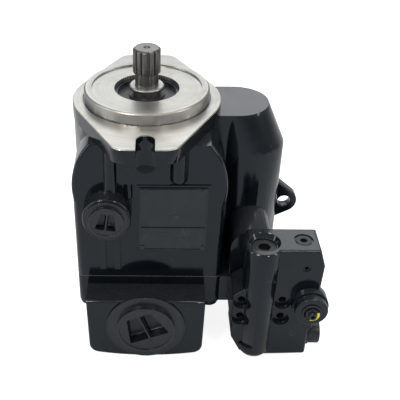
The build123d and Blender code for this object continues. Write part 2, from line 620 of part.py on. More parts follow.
with BuildPart() as control_block:
    # front outline, its upper right corner cut back and its foot rounded
    with BuildSketch(Plane(origin=(0, control_front_y, 0), x_dir=(1, 0, 0), z_dir=(0, 1, 0))):
        with BuildLine():
            FilletPolyline((ridge_x - 12, 90), (control_right_x - 5, 90), (control_right_x, 106),
                           (control_right_x - 2, 172), (139, 176), (139, 203),
                           (ridge_x - 4, 205), (control_left_x + 8, 200), (control_left_x, 184),
                           (control_left_x - 1, 138), (ridge_x - 12, 130), radius=2.5, close=True)
        make_face()
    extrude(amount=control_back_y - control_front_y)
    fillet(control_block.faces().filter_by(Axis.Y).sort_by(Axis.Y)[0].edges(), 2)
    # spool housing, a round ridge on the servo side
    upright(ridge_r, (ridge_x, ridge_y), control_bottom_z + 4, control_top_z - 1.2)
    for wide_z, wide_r, narrow_z, narrow_r in (
        (control_bottom_z + 4, ridge_r, control_bottom_z - 1, ridge_r - 3.5),
        (control_top_z - 1.2, ridge_r, control_top_z, ridge_r - 1.2),
    ):
        with BuildSketch(Plane.XY.offset(wide_z)):
            with Locations((ridge_x, ridge_y)):
                Circle(wide_r)
        with BuildSketch(Plane.XY.offset(narrow_z)):
            with Locations((ridge_x, ridge_y)):
                Circle(narrow_r)
        loft()
    # adjuster boss, side plug boss
    along_y(15, limiter_x, limiter_z, control_front_y - 6, control_front_y + 5)
    along_y(limiter_boss_r, limiter_x, limiter_z, limiter_face_y, control_front_y + 5)
    fillet(control_block.edges().filter_by(GeomType.CIRCLE).group_by(Axis.Y)[0], 1)
    along_x(12, side_plug_y, side_plug_z, 135, 141)
    # screw pockets and screw holes
    for screw_x in control_screw_x:
        for screw_z in control_screw_z:
            along_y(7, screw_x, screw_z, -100, screw_floor_y, Mode.SUBTRACT)
            along_y(3.2, screw_x, screw_z, -100, -50, Mode.SUBTRACT)
    # spool bore, limiter bore, ports
    upright(spool_r + slide_fit, (spool_x, spool_y), -196, -100, Mode.SUBTRACT)
    upright(7, (spool_x, spool_y), -210, -182, Mode.SUBTRACT)
    upright(10 + seat_gap, large_port, -104, control_top_z + 2, Mode.SUBTRACT)
    with BuildSketch(Plane.XY.offset(control_top_z - 4)):
        with Locations(large_port):
            Circle(10.6)
    with BuildSketch(Plane.XY.offset(control_top_z + 0.2)):
        with Locations(large_port):
            Circle(large_spot_r + 0.4)
    loft(mode=Mode.SUBTRACT)
    upright(6.5 + seat_gap, small_port, -102, control_top_z + 2, Mode.SUBTRACT)
    upright(small_spot_r, small_port, control_top_z - 1.2, control_top_z + 2, Mode.SUBTRACT)
    along_y(4 + slide_fit, limiter_x, limiter_z, -90, -64, Mode.SUBTRACT)
    along_y(8 + seat_gap, limiter_x, limiter_z, -110, -90, Mode.SUBTRACT)
    along_x(9 + seat_gap, side_plug_y, side_plug_z, 124, 145, Mode.SUBTRACT)
    along_y(3 + seat_gap, gauge_x, gauge_z, -95, -76, Mode.SUBTRACT)
    # shallow hollow at the foot
    with BuildSketch(Plane(origin=(86, -100, -190), x_dir=(1, 0, 0), z_dir=(0, 1, 0))):
        Ellipse(6, 2.4)
    extrude(amount=18, mode=Mode.SUBTRACT)
control_block.part.label = "control_block"
export_step(control_block.part, "parts/control_block.step")

with BuildPart() as control_gasket:
    with BuildSketch(Plane(origin=(109, control_back_y + seat_gap / 2, -169), x_dir=(1, 0, 0),
                           z_dir=(0, 1, 0))):
        RectangleRounded(62, 54, 3)
    extrude(amount=0.5 - seat_gap)
    for screw_x in control_screw_x:
        for screw_z in control_screw_z:
            along_y(3.4, screw_x, screw_z, -60, -50, Mode.SUBTRACT)
control_gasket.part.label = "control_gasket"
export_step(control_gasket.part, "parts/control_gasket.step")

with BuildPart() as control_screws:
    for screw_x in control_screw_x:
        for screw_z in control_screw_z:
            along_y(3, screw_x, screw_z, screw_floor_y, -45)
            along_y(5, screw_x, screw_z, screw_floor_y - 6, screw_floor_y)
            with BuildSketch(Plane(origin=(screw_x, screw_floor_y - 6, screw_z), z_dir=(0, 1, 0))):
                RegularPolygon(2.9, 6)
            extrude(amount=3.4, mode=Mode.SUBTRACT)
control_screws.part.label = "control_screws"
export_step(control_screws.part, "parts/control_screws.step")

# load-sensing spool with its lands, spring, spring seat plug and adjuster
with BuildPart() as load_sensing_spool:
    upright(spool_r, (spool_x, spool_y), -168, -112)
    for neck_z in (-160, -144, -128):
        ring(spool_r + 1, spool_r - 1.8, (spool_x, spool_y), neck_z, neck_z + 8, Mode.SUBTRACT)
load_sensing_spool.part.label = "load_sensing_spool"
export_step(load_sensing_spool.part, "parts/load_sensing_spool.step")

load_sensing_spring = coil_spring(3.4, 0.8, (spool_x, spool_y), -186, -170.5, 5)
load_sensing_spring.part.label = "load_sensing_spring"
export_step(load_sensing_spring.part, "parts/load_sensing_spring.step")

with BuildPart() as load_sensing_adjuster:
    upright(7 - seat_gap, (spool_x, spool_y), -204.5, -186)
    hex_socket(5, (spool_x, spool_y), -204.5, -4)
load_sensing_adjuster.part.label = "load_sensing_adjuster"
export_step(load_sensing_adjuster.part, "parts/load_sensing_adjuster.step")

# pressure limiter: poppet, spring, sleeve, lock nut and adjusting screw
with BuildPart() as limiter_poppet:
    along_y(4, limiter_x, limiter_z, -79, -68)
    along_y(2.2, limiter_x, limiter_z, -84, -79)
limiter_poppet.part.label = "limiter_poppet"
export_step(limiter_poppet.part, "parts/limiter_poppet.step")

with BuildPart() as limiter_spring:
    with BuildLine() as spring_line:
        Helix(pitch=2, height=7.4, radius=3.1, center=(limiter_x, -88, limiter_z),
              direction=(0, 1, 0))
    with BuildSketch(Plane(origin=spring_line.line @ 0, z_dir=spring_line.line % 0)):
        Circle(0.55)
    sweep()
limiter_spring.part.label = "limiter_spring"
export_step(limiter_spring.part, "parts/limiter_spring.step")

with BuildPart() as limiter_sleeve:
    along_y(8, limiter_x, limiter_z, limiter_face_y - 1.5, -90 - seat_gap)
    along_y(6.4, limiter_x, limiter_z, limiter_face_y - 2, limiter_face_y + 1, Mode.SUBTRACT)
    along_y(3 + seat_gap, limiter_x, limiter_z, -110, -80, Mode.SUBTRACT)
limiter_sleeve.part.label = "limiter_sleeve"
export_step(limiter_sleeve.part, "parts/limiter_sleeve.step")

with BuildPart() as limiter_lock_nut:
    with BuildSketch(Plane(origin=(limiter_x, limiter_face_y - 3, limiter_z), z_dir=(0, 1, 0))):
        RegularPolygon(6, 6)
    extrude(amount=4 - seat_gap)
    along_y(3 + seat_gap, limiter_x, limiter_z, -110, -80, Mode.SUBTRACT)
limiter_lock_nut.part.label = "limiter_lock_nut"
export_step(limiter_lock_nut.part, "parts/limiter_lock_nut.step")

with BuildPart() as limiter_screw:
    along_y(3, limiter_x, limiter_z, limiter_face_y - 6, -89)
    with BuildSketch(Plane(origin=(limiter_x, limiter_face_y - 6, limiter_z), z_dir=(0, 1, 0))):
        RegularPolygon(1.7, 6)
    extrude(amount=3, mode=Mode.SUBTRACT)
limiter_screw.part.label = "limiter_screw"
export_step(limiter_screw.part, "parts/limiter_screw.step")

# plugs in the control block's ports
with BuildPart() as large_port_plug:
    upright(10, large_port, -103, control_top_z - 5)
    hex_socket(9, large_port, control_top_z - 5, 6)
large_port_plug.part.label = "large_port_plug"
export_step(large_port_plug.part, "parts/large_port_plug.step")

with BuildPart() as small_port_plug:
    upright(6.5, small_port, -101, control_top_z - 0.4)
    hex_socket(5, small_port, control_top_z - 0.4, 4)
small_port_plug.part.label = "small_port_plug"
export_step(small_port_plug.part, "parts/small_port_plug.step")

with BuildPart() as side_plug:
    along_x(9, side_plug_y, side_plug_z, 125, 141)
    along_x(11, side_plug_y, side_plug_z, 141 + seat_gap, 151)
    fillet(side_plug.edges().filter_by(GeomType.CIRCLE).group_by(Axis.X)[-1], 1)
    along_x(9, side_plug_y, side_plug_z, 140, 142)
    with BuildSketch(Plane(origin=(151, side_plug_y, side_plug_z), z_dir=(1, 0, 0))):
        RegularPolygon(5.2, 6)
    extrude(amount=-5, mode=Mode.SUBTRACT)
side_plug.part.label = "side_plug"
export_step(side_plug.part, "parts/side_plug.step")

with BuildPart() as gauge_plug:
    along_y(3, gauge_x, gauge_z, control_front_y + 1, -77)
    with BuildSketch(Plane(origin=(gauge_x, control_front_y + 1, gauge_z), z_dir=(0, 1, 0))):
        RegularPolygon(1.8, 6)
    extrude(amount=3, mode=Mode.SUBTRACT)
gauge_plug.part.label = "gauge_plug"
export_step(gauge_plug.part, "parts/gauge_plug.step")

# ---------------------------------------------------------------- shipping and drain plugs
with BuildPart() as inlet_plug:
    along_y(30.9, 0, inlet_z, inlet_face_y - 1, inlet_face_y + 2.9)
    along_y(inlet_plug_r, 0, inlet_z, inlet_face_y - plug_flange, inlet_face_y - seat_gap)
    along_y(inlet_drum_r, 0, inlet_z, inlet_face_y - inlet_drum_h, inlet_face_y)
    along_y(21.9, 0, inlet_z, inlet_face_y, inlet_face_y + 20)
    # sunken grip with a bar left across it
    along_y(inlet_drum_r - 3, 0, inlet_z, inlet_face_y - inlet_drum_h - 1,
            inlet_face_y - inlet_drum_h + 1, Mode.SUBTRACT)
    along_y(18, 0, inlet_z, inlet_face_y - inlet_drum_h - 1, inlet_face_y + 10, Mode.SUBTRACT)
    block(-3, 3, inlet_face_y - inlet_drum_h + 1, inlet_face_y + 12, inlet_z - 18.5, inlet_z + 18.5)
inlet_plug.part.label = "inlet_plug"
export_step(inlet_plug.part, "parts/inlet_plug.step")

with BuildPart() as outlet_plug:
    along_y(15.9, 0, inlet_z, 48, 67)
    along_y(21, 0, inlet_z, 66 + seat_gap, 70)
    along_y(11, 0, inlet_z, 60, 71, Mode.SUBTRACT)
    block(-2.5, 2.5, 56, 69, inlet_z - 11.5, inlet_z + 11.5)
outlet_plug.part.label = "outlet_plug"
export_step(outlet_plug.part, "parts/outlet_plug.step")

drain_face_y = front_y - 14
with BuildPart() as drain_plug:
    along_y(drain_plug_r, drain_x, drain_z, drain_face_y - plug_flange, drain_face_y - seat_gap)
    along_y(drain_drum_r, drain_x, drain_z, drain_face_y - drain_drum_h, drain_face_y)
    along_y(13.9, drain_x, drain_z, drain_face_y - 1, drain_face_y + 14)
    along_y(drain_drum_r - 1.6, drain_x, drain_z, drain_face_y - drain_drum_h - 1,
            drain_face_y - drain_drum_h + 0.7, Mode.SUBTRACT)
    along_y(11, drain_x, drain_z, drain_face_y - drain_drum_h - 1, drain_face_y + 6, Mode.SUBTRACT)
    block(drain_x - 1.6, drain_x + 1.6, drain_face_y - drain_drum_h + 0.7, drain_face_y + 8,
          drain_z - 11.5, drain_z + 11.5)
drain_plug.part.label = "drain_plug"
export_step(drain_plug.part, "parts/drain_plug.step")

with BuildPart() as rear_drain_plug:
    along_y(10.9, -24, drain_z, 50, body_half + 7)
    along_y(15, -24, drain_z, body_half + 6 + seat_gap, body_half + 10)
    with BuildSketch(Plane(origin=(-24, body_half + 10, drain_z), z_dir=(0, -1, 0))):
        RegularPolygon(6.5, 6)
    extrude(amount=8, mode=Mode.SUBTRACT)
rear_drain_plug.part.label = "rear_drain_plug"
export_step(rear_drain_plug.part, "parts/rear_drain_plug.step")

# ---------------------------------------------------------------- rating plate
plate_y = front_y - 1.2
with BuildPart() as rating_plate:
    block(-5.5, 49.5, plate_y - 1, plate_y, -110, -49)
    for rivet_x in (-3, 47):
        for rivet_z in (-52, -107):
            along_y(1.3, rivet_x, rivet_z, plate_y - 2, plate_y + 1, Mode.SUBTRACT)
rating_plate.part.label = "rating_plate"
export_step(rating_plate.part, "parts/rating_plate.step")

with BuildPart() as plate_rivets:
    for rivet_x in (-3, 47):
        for rivet_z in (-52, -107):
            along_y(1.15, rivet_x, rivet_z, plate_y - 1.5, plate_y + 4)
            along_y(2.2, rivet_x, rivet_z, plate_y - 2, plate_y - 1)
plate_rivets.part.label = "plate_rivets"
export_step(plate_rivets.part, "parts/plate_rivets.step")
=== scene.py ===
import math

import bpy
from bpy.props import FloatProperty, FloatVectorProperty, IntProperty, PointerProperty
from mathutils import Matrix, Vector


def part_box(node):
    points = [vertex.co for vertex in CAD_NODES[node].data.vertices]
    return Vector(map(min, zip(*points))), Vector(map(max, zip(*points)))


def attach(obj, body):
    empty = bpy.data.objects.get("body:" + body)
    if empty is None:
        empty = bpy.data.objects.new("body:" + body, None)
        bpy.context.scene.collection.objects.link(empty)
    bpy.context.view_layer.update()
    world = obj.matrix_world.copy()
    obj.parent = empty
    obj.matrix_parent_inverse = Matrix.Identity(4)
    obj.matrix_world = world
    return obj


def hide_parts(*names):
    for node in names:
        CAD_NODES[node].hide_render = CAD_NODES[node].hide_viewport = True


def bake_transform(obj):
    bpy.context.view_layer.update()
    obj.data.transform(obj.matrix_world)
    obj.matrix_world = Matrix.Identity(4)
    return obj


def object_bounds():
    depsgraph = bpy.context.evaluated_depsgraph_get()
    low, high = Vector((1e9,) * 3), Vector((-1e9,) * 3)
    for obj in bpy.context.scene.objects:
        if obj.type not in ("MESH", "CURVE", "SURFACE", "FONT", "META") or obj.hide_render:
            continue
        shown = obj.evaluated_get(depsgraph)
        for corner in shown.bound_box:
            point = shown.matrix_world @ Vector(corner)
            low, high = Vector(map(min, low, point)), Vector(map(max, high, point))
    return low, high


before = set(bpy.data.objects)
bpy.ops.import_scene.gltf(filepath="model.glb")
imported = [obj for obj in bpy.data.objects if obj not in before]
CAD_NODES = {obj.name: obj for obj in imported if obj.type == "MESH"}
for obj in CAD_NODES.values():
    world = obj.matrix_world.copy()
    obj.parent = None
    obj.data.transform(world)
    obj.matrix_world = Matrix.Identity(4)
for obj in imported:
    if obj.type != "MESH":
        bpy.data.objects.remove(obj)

bl_info = {
    "name": "Axial piston pump",
    "version": (1, 0, 0),
    "blender": (4, 5, 0),
    "location": "View3D > Sidebar > Pump",
    "description": "Finishes the pump and builds its springs, plugs, plate, screws and stage",
    "category": "Add Mesh",
}

MM = 0.001
CAD_BOX = [list(corner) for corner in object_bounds()]
FLOOR_Z = CAD_BOX[0][2]
SEAL_BORE_R = 26.4 * MM


# ---------------------------------------------------------------- settings
class PumpCastingSettings(bpy.types.PropertyGroup):
    edge_round: FloatProperty(
        name="Cast edge radius", description="Rounding along the edges of the castings",
        default=0.8 * MM, min=0.0, unit="LENGTH")
    paint: FloatVectorProperty(
        name="Paint", description="Colour of the gloss paint on the castings",
        default=(0.0022, 0.0036, 0.0052), size=3, subtype="COLOR", min=0.0, max=1.0)
    grain: FloatProperty(
        name="Cast grain", description="Size of the sand grain that shows through the paint",
        default=2.2 * MM, min=0.1 * MM, unit="LENGTH")
    machined: FloatVectorProperty(
        name="Machined face", description="Colour of the bare flange face and pilot",
        default=(0.45, 0.435, 0.40), size=3, subtype="COLOR", min=0.0, max=1.0)


class PumpPlugSettings(bpy.types.PropertyGroup):
    plastic: FloatVectorProperty(
        name="Plug plastic", description="Colour of the moulded shipping plugs",
        default=(0.008, 0.0095, 0.011), size=3, subtype="COLOR", min=0.0, max=1.0)
    bar: FloatProperty(
        name="Grip bar", description="Width of the bar between a plug's two grip wells",
        default=1.3 * MM, min=0.2 * MM, unit="LENGTH")
    sides: IntProperty(
        name="Plug sides", description="Sides of the circles that the plugs are made from",
        default=96, min=16)


class PumpPlateSettings(bpy.types.PropertyGroup):
    border: FloatProperty(
        name="Plate border", description="Width of the rating plate's raised border",
        default=0.9 * MM, min=0.1 * MM, unit="LENGTH")
    raised: FloatProperty(
        name="Raised lines", description="How far the border and the dividing line stand up",
        default=0.8 * MM, min=0.0, unit="LENGTH")
    ink: FloatVectorProperty(
        name="Plate colour", description="Colour of the plate's painted field",
        default=(0.007, 0.0085, 0.010), size=3, subtype="COLOR", min=0.0, max=1.0)


class PumpScrewSettings(bpy.types.PropertyGroup):
    knurls: IntProperty(
        name="Knurls", description="Grooves round the head of a cap screw", default=36, min=8)
    mark: FloatVectorProperty(
        name="Setting mark", description="Colour of the paint dab on the limiter screw",
        default=(0.88, 0.76, 0.02), size=3, subtype="COLOR", min=0.0, max=1.0)


class PumpStageSettings(bpy.types.PropertyGroup):
    floor: FloatVectorProperty(
        name="Floor", description="Colour of the floor",
        default=(0.66, 0.66, 0.66), size=3, subtype="COLOR", min=0.0, max=1.0)
    glow: FloatProperty(
        name="Floor glow", description="Light the floor gives off, which thins the shadows on it",
        default=0.85, min=0.0)
    key: FloatProperty(
        name="Key light", description="Strength of the large light over the inlet side",
        default=6.0, min=0.0, unit="POWER")
    fill: FloatProperty(
        name="Fill light", description="Strength of the side lights", default=3.0, min=0.0,
        unit="POWER")
    sky: FloatProperty(
        name="Room light", description="Strength of the even light from all round",
        default=0.50, min=0.0)


def settings(name):
    return getattr(bpy.context.scene, "pump_" + name)


# ---------------------------------------------------------------- modelling by hand, in code
def clear_selection():
    if bpy.context.mode != "OBJECT":
        bpy.ops.object.mode_set(mode="OBJECT")
    bpy.ops.object.select_all(action="DESELECT")


def make_active(obj):
    clear_selection()
    obj.select_set(True)
    bpy.context.view_layer.objects.active = obj


def settle(obj, name):
    """Puts a finished piece's object at the origin, with its place in its mesh."""
    make_active(obj)
    bpy.ops.object.transform_apply(location=True, rotation=True, scale=True)
    obj.name = name
    obj.data.name = name
    return obj


def add_round(name, radius, y_front, y_back, x, z, sides):
    """Round bar along Y, closed at both ends."""
    clear_selection()
    bpy.ops.mesh.primitive_cylinder_add(
        vertices=sides, radius=radius, depth=y_back - y_front,
        location=(x, (y_front + y_back) / 2, z), rotation=(math.pi / 2, 0, 0))
    return settle(bpy.context.object, name)


def add_block(name, low, high):
    """Box between two corners."""
    low, high = Vector(low), Vector(high)
    clear_selection()
    bpy.ops.mesh.primitive_cube_add(size=1, location=(low + high) / 2)
    bpy.context.object.scale = high - low
    return settle(bpy.context.object, name)


def pick_faces(obj, rule):
    """Opens the piece for editing with only the faces selected that meet the rule."""
    make_active(obj)
    bpy.ops.object.mode_set(mode="EDIT")
    bpy.ops.mesh.select_mode(type="FACE")
    bpy.ops.mesh.select_all(action="DESELECT")
    bpy.ops.object.mode_set(mode="OBJECT")
    chosen = 0
    for face in obj.data.polygons:
        face.select = bool(rule(face.center, face.normal))
        chosen += face.select
    if not chosen:
        raise RuntimeError(f"{obj.name}: no face meets the rule")
    bpy.ops.object.mode_set(mode="EDIT")


def push(step):
    bpy.ops.mesh.extrude_region_move(TRANSFORM_OT_translate={"value": step})


def cut_away(obj, cutter):
    """Takes the cutter's shape out of the piece and removes the cutter."""
    make_active(obj)
    modifier = obj.modifiers.new("Cut", "BOOLEAN")
    modifier.operation = "DIFFERENCE"
    modifier.solver = "EXACT"
    modifier.object = cutter
    bpy.ops.object.modifier_apply(modifier=modifier.name)
    bpy.data.objects.remove(cutter)


def round_over(obj, width, segments=3, angle=32):
    """Rounds the piece's sharp edges and smooths what is left."""
    make_active(obj)
    modifier = obj.modifiers.new("Round", "BEVEL")
    modifier.width = width
    modifier.segments = segments
    modifier.limit_method = "ANGLE"
    modifier.angle_limit = math.radians(angle)
    bpy.ops.object.modifier_apply(modifier=modifier.name)
    bpy.ops.object.shade_smooth_by_angle(angle=math.radians(40))


def join(first, *others):
    clear_selection()
    for other in others:
        other.select_set(True)
    first.select_set(True)
    bpy.context.view_layer.objects.active = first
    bpy.ops.object.join()
    return first


def turned_copy(obj, name, shift):
    """Copy with a mesh of its own, moved by a step."""
    copy = obj.copy()
    copy.data = obj.data.copy()
    bpy.context.scene.collection.objects.link(copy)
    copy.location = shift
    return settle(copy, name)


# ---------------------------------------------------------------- shared shader effects
def add_node(tree, kind, place, **values):
    node = tree.nodes.new(kind)
    node.location = place
    for key, value in values.items():
        setattr(node, key, value)
    return node


def feed(tree, socket, value):
    if hasattr(value, "is_output"):
        tree.links.new(value, socket)
    else:
        socket.default_value = value


def calc(tree, place, operation, *values, clamp=False):
    node = add_node(tree, "ShaderNodeMath", place, operation=operation, use_clamp=clamp)
    for socket, value in zip(node.inputs, values):
        feed(tree, socket, value)
    return node.outputs[0]


def noise(tree, place, vector, scale, detail=3.0, roughness=0.5):
    node = add_node(tree, "ShaderNodeTexNoise", place)
    feed(tree, node.inputs["Vector"], vector)
    feed(tree, node.inputs["Scale"], scale)
    node.inputs["Detail"].default_value = detail
    node.inputs["Roughness"].default_value = roughness
    return node.outputs["Fac"]


def spread(tree, place, value, low, high, to_low=0.0, to_high=1.0):
    """Straight line from one range of values to another, held at both ends."""
    node = add_node(tree, "ShaderNodeMapRange", place)
    for socket, number in zip(node.inputs, (value, low, high, to_low, to_high)):
        feed(tree, socket, number)
    return node.outputs["Result"]


def blend_colours(tree, place, amount, first, second):
    node = add_node(tree, "ShaderNodeMix", place, data_type="RGBA")
    feed(tree, node.inputs[0], amount)
    for socket, colour in ((node.inputs[6], first), (node.inputs[7], second)):
        feed(tree, socket, (*colour, 1.0) if isinstance(colour, (tuple, list)) else colour)
    return node.outputs[2]


def new_group(name, inputs, outputs):
    group = bpy.data.node_groups.new(name, "ShaderNodeTree")
    for label, kind, start in inputs:
        socket = group.interface.new_socket(name=label, in_out="INPUT", socket_type=kind)
        if start is not None:
            socket.default_value = start
    for label, kind in outputs:
        group.interface.new_socket(name=label, in_out="OUTPUT", socket_type=kind)
    start = add_node(group, "NodeGroupInput", (-900, 0))
    end = add_node(group, "NodeGroupOutput", (600, 0))
    return group, start, end


def build_cast_grain():
    """Height of a sand-cast skin: fine grain over slow unevenness."""
    group, start, end = new_group(
        "Cast grain",
        [("Vector", "NodeSocketVector", None), ("Grain size", "NodeSocketFloat", 1.3 * MM),
         ("Unevenness", "NodeSocketFloat", 0.5)],
        [("Height", "NodeSocketFloat")])
    fine_scale = calc(group, (-700, 200), "DIVIDE", 1.0, start.outputs["Grain size"])
    slow_scale = calc(group, (-700, -100), "DIVIDE", fine_scale, 6.5)
    fine = noise(group, (-450, 200), start.outputs["Vector"], fine_scale, 3.0, 0.55)
    slow = noise(group, (-450, -100), start.outputs["Vector"], slow_scale, 2.0, 0.5)
    keep = calc(group, (-200, 300), "SUBTRACT", 1.0, start.outputs["Unevenness"])
    total = calc(group, (200, 0), "ADD", calc(group, (0, 200), "MULTIPLY", fine, keep),
                 calc(group, (0, -100), "MULTIPLY", slow, start.outputs["Unevenness"]))
    feed(group, end.inputs["Height"], total)
    return group


def build_turning_marks():
    """Fine tool marks that repeat with distance, and the brighter streaks among them."""
    group, start, end = new_group(
        "Turning marks",
        [("Distance", "NodeSocketFloat", 0.0), ("Pitch", "NodeSocketFloat", 0.25 * MM),
         ("Vector", "NodeSocketVector", None)],
        [("Height", "NodeSocketFloat"), ("Streak", "NodeSocketFloat")])
    count = calc(group, (-700, 100), "DIVIDE", start.outputs["Distance"], start.outputs["Pitch"])
    ridges = add_node(group, "ShaderNodeTexNoise", (-450, 200), noise_dimensions="1D")
    feed(group, ridges.inputs["W"], count)
    ridges.inputs["Scale"].default_value = 1.0
    ridges.inputs["Detail"].default_value = 2.0
    bands = add_node(group, "ShaderNodeTexNoise", (-450, -50), noise_dimensions="1D")
    feed(group, bands.inputs["W"], count)
    bands.inputs["Scale"].default_value = 0.11
    bands.inputs["Detail"].default_value = 3.0
    patches = noise(group, (-450, -300), start.outputs["Vector"], 38.0, 3.0, 0.6)
    mixed = calc(group, (0, -100), "MULTIPLY_ADD", bands.outputs["Fac"], 0.6,
                 calc(group, (-200, -300), "MULTIPLY", patches, 0.4))
    feed(group, end.inputs["Height"], ridges.outputs["Fac"])
    feed(group, end.inputs["Streak"], spread(group, (250, -100), mixed, 0.36, 0.64))
    return group


def build_scuffs():
    """Mask of the small rubbed and chipped spots that handling leaves."""
    group, start, end = new_group(
        "Scuffs",
        [("Vector", "NodeSocketVector", None), ("Spot size", "NodeSocketFloat", 4 * MM),
         ("Amount", "NodeSocketFloat", 0.3)],
        [("Mask", "NodeSocketFloat")])
    scale = calc(group, (-700, 100), "DIVIDE", 1.0, start.outputs["Spot size"])
    spots = noise(group, (-450, 150), start.outputs["Vector"], scale, 6.0, 0.72)
    zones = noise(group, (-450, -150), start.outputs["Vector"],
                  calc(group, (-650, -150), "MULTIPLY", scale, 0.14), 2.0, 0.5)
    level = calc(group, (-100, 0), "ADD", calc(group, (-250, 150), "MULTIPLY", spots, 0.7),
                 calc(group, (-250, -150), "MULTIPLY", zones, 0.45))
    edge = calc(group, (-100, -250), "SUBTRACT", 0.76,
                calc(group, (-250, -320), "MULTIPLY", start.outputs["Amount"], 0.2))
    top = calc(group, (50, -250), "ADD", edge, 0.07)
    feed(group, end.inputs["Mask"], spread(group, (250, 0), level, edge, top))
    return group


def build_dust_and_top_sheen():
    """Mask of faces turned up, for settled dust and a painted sheen of light on those top faces."""
    group, start, end = new_group(
        "Settled dust and top sheen",
        [("Vector", "NodeSocketVector", None), ("Amount", "NodeSocketFloat", 0.3)],
        [("Mask", "NodeSocketFloat")])
    normal = add_node(group, "ShaderNodeNewGeometry", (-700, 200))
    parts = add_node(group, "ShaderNodeSeparateXYZ", (-500, 200))
    feed(group, parts.inputs[0], normal.outputs["Normal"])
    up = spread(group, (-300, 200), parts.outputs["Z"], 0.35, 1.0)
    cloud = spread(group, (-300, -100),
                   noise(group, (-500, -100), start.outputs["Vector"], 420.0, 6.0, 0.68),
                   -0.1, 0.9)
    mask = calc(group, (0, 50), "MULTIPLY", up, cloud)
    feed(group, end.inputs["Mask"],
         calc(group, (200, 50), "MULTIPLY", mask, start.outputs["Amount"]))
    return group


GROUP_BUILDERS = {
    "Cast grain": build_cast_grain,
    "Turning marks": build_turning_marks,
    "Scuffs": build_scuffs,
    "Settled dust and top sheen": build_dust_and_top_sheen,
}


def use_group(tree, name, place, **values):
    group = bpy.data.node_groups.get(name) or GROUP_BUILDERS[name]()
    node = add_node(tree, "ShaderNodeGroup", place, node_tree=group)
    for label, value in values.items():
        feed(tree, node.inputs[label.replace("_", " ").capitalize()], value)
    return node


def new_material(name):
    material = bpy.data.materials.new(name)
    material.use_nodes = True
    tree = material.node_tree
    shader = tree.nodes["Principled BSDF"]
    shader.location = (700, 0)
    tree.nodes["Material Output"].location = (1050, 0)
    coords = add_node(tree, "ShaderNodeTexCoord", (-1100, 0)).outputs["Object"]
    return material, tree, shader, coords


def add_bump(tree, shader, height, distance, strength=1.0):
    bump = add_node(tree, "ShaderNodeBump", (450, -400))
    bump.inputs["Strength"].default_value = strength
    bump.inputs["Distance"].default_value = distance
    feed(tree, bump.inputs["Height"], height)
    feed(tree, shader.inputs["Normal"], bump.outputs["Normal"])


